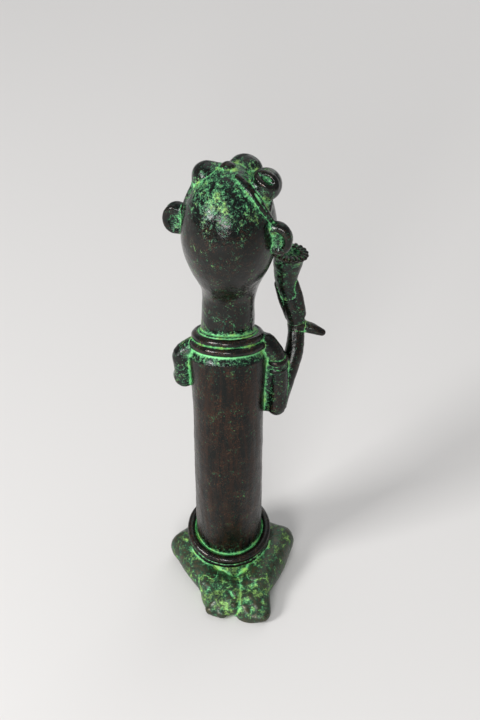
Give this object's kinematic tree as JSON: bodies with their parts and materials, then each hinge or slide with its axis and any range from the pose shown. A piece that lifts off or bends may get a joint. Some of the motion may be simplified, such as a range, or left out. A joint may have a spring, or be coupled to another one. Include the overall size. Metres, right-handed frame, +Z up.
{
  "type": "kneeling bronze figure",
  "caption": "Small cast kneeling figure with a tube body, wound neck and waist rings, tufted hair and a raised hand holding a flared horn.",
  "frame": {"origin": "on the resting plane, under the middle of the hips", "axes": "+Z up, the figure faces -Y, so its right hand, with the horn, is on the -X side"},
  "size_m": [0.0401, 0.0417, 0.1237],
  "materials": {
    "burnished_bronze": "dark brown patina, burnished, a few green specks",
    "speckled_bronze": "near black patina with a dense speckle of green verdigris, glossy on the crown",
    "rubbed_ring_bronze": "dark patina rubbed glossy on the crests, green in the grooves",
    "green_groove_bronze": "dark patina, satin, with green verdigris wherever two pieces meet",
    "horn_bronze": "dark green patina, bright green inside the mouth",
    "crusted_bronze": "matt patina heavily crusted with green, yellowish and rusty patches"
  },
  "bodies": {
    "root": {"torso": "burnished_bronze", "hips": "crusted_bronze", "shoulder_yoke": "green_groove_bronze", "head": "speckled_bronze", "belt_ring_upper": "rubbed_ring_bronze", "belt_ring_lower": "rubbed_ring_bronze", "necklace_ring_upper": "rubbed_ring_bronze", "necklace_ring_lower": "rubbed_ring_bronze", "left_thigh": "crusted_bronze", "right_thigh": "crusted_bronze", "left_shin": "crusted_bronze", "right_shin": "crusted_bronze", "left_foot": "crusted_bronze", "right_foot": "crusted_bronze", "left_big_toe": "crusted_bronze", "left_small_toe": "crusted_bronze", "left_ear": "speckled_bronze", "right_ear": "speckled_bronze", "crown_knob": "speckled_bronze", "hair_tuft_left": "speckled_bronze", "hair_tuft_front": "speckled_bronze", "hair_tuft_right": "speckled_bronze", "hair_braid_right": "speckled_bronze", "nose": "speckled_bronze", "left_eye": "speckled_bronze", "right_eye": "speckled_bronze", "mouth": "speckled_bronze", "left_upper_arm": "green_groove_bronze", "left_forearm": "green_groove_bronze", "left_hand": "green_groove_bronze", "right_upper_arm": "green_groove_bronze", "right_armlet_upper": "green_groove_bronze", "right_armlet_lower": "green_groove_bronze", "right_forearm": "green_groove_bronze", "right_bracelet": "green_groove_bronze", "horn": "horn_bronze", "horn_rim": "horn_bronze", "right_palm": "green_groove_bronze", "right_thumb": "green_groove_bronze", "right_index_finger": "green_groove_bronze", "right_middle_finger": "green_groove_bronze", "right_ring_finger": "green_groove_bronze", "right_little_finger": "green_groove_bronze"}
  },
  "joints": []
}
